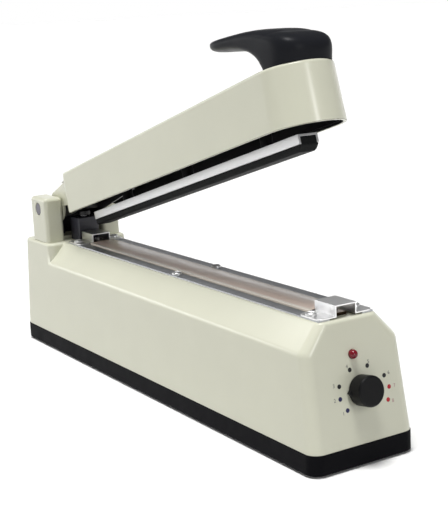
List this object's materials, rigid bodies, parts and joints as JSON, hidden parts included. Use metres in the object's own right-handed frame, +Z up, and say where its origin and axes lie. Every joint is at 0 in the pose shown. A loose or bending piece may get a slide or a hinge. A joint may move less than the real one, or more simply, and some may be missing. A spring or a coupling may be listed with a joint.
{
  "type": "hand impulse bag sealer",
  "caption": "Ivory hand impulse sealer for plastic bags: hinged arm with hooked black handle, heated jaw, timer knob and red lamp on the front panel.",
  "frame": {"origin": "on the floor, under the middle of the overall length and width", "axes": "+X from the hinge end to the front panel, +Z up, +Y to the left of someone looking along +X"},
  "size_m": [0.463, 0.084, 0.2781],
  "materials": {
    "ivory_plastic": "smooth injection-moulded ivory plastic",
    "black_plastic": "fine-textured black moulded plastic",
    "handle_plastic": "satin black moulded plastic",
    "black_steel": "black painted pressed steel",
    "plated_steel": "bright zinc-plated steel",
    "sheet_steel": "brushed sheet steel",
    "aluminium": "extruded mill-finish aluminium",
    "silicone": "black silicone rubber",
    "foot_rubber": "black moulded rubber",
    "ptfe_cloth": "brown PTFE-coated glass cloth",
    "mica_strip": "woven glass insulating tape",
    "nichrome": "rolled resistance ribbon",
    "brass": "machined brass",
    "red_lens": "clear red acrylic",
    "lamp_plastic": "white moulded plastic",
    "bush_plastic": "turned acetal",
    "core_steel": "varnished steel laminations",
    "copper_winding": "enamelled copper winding",
    "board": "glass-epoxy circuit board",
    "component_sleeve": "shrink sleeve",
    "relay_case": "blue moulded case",
    "red_plastic": "red moulded plastic"
  },
  "bodies": {
    "base": {"base_tray": "black_plastic", "rubber_feet": "foot_rubber", "base_screws": "plated_steel", "body_shell": "ivory_plastic", "hinge_bracket": "ivory_plastic", "hinge_screws": "plated_steel", "rear_guard": "black_plastic", "hinge_pin": "plated_steel", "pin_clip": "sheet_steel", "spring_tower": "black_plastic", "return_spring": "plated_steel", "sealing_bed": "aluminium", "insulating_strip": "mica_strip", "heating_element": "nichrome", "ptfe_cloth": "ptfe_cloth", "near_clamp_strip": "sheet_steel", "far_clamp_strip": "sheet_steel", "strip_screws": "plated_steel", "front_end_cover": "plated_steel", "rear_end_cover": "plated_steel", "element_terminals": "brass", "terminal_screws": "plated_steel", "micro_switch": "black_plastic", "switch_bracket": "sheet_steel", "switch_screws": "plated_steel", "transformer_core": "core_steel", "transformer_coil": "copper_winding", "transformer_strap": "sheet_steel", "floor_screws": "plated_steel", "potentiometer": "sheet_steel", "potentiometer_nut": "plated_steel", "timer_board": "board", "timer_capacitors": "component_sleeve", "timer_relay": "relay_case", "lamp_lens": "red_lens", "lamp_body": "lamp_plastic", "cord_gland": "foot_rubber"},
    "arm": {"arm_shell": "ivory_plastic", "arm_liner": "black_plastic", "arm_frame": "black_steel", "push_pin": "black_steel", "hinge_bushes": "bush_plastic", "frame_screws": "plated_steel", "handle": "handle_plastic", "handle_screws": "plated_steel", "pressing_bar": "aluminium", "rubber_strip": "silicone", "bar_screws": "plated_steel"},
    "push_rod": {"push_rod": "black_steel"},
    "switch_button": {"switch_button": "red_plastic"},
    "knob": {"timer_knob": "black_plastic", "potentiometer_shaft": "plated_steel"}
  },
  "joints": [
    {"name": "arm_hinge", "type": "hinge", "parent": "base", "child": "arm", "pos_m": [-0.19525, 0, 0.125], "axis": [0, 1, 0], "range_deg": [0, 15.5], "stiffness_Nm_per_rad": 4, "springref_deg": -28.65},
    {"name": "push_rod_slide", "type": "slide", "parent": "base", "child": "push_rod", "axis": [0, 0, -1], "range_m": [0, 0.0053], "deforming": ["return_spring"]},
    {"name": "switch_button_press", "type": "slide", "parent": "base", "child": "switch_button", "axis": [0, 0, -1], "range_m": [0, 0.00082]},
    {"name": "knob_turn", "type": "hinge", "parent": "base", "child": "knob", "pos_m": [0.2178, 0.0015, 0.04913], "axis": [-0.9866, 0, -0.1633], "range_deg": [-30, 218]}
  ],
  "couplings": [
    {"joint": "push_rod_slide", "follows": "arm_hinge", "m_per_rad": 0.019441},
    {"joint": "switch_button_press", "follows": "arm_hinge", "m_per_rad": 0.002957}
  ]
}
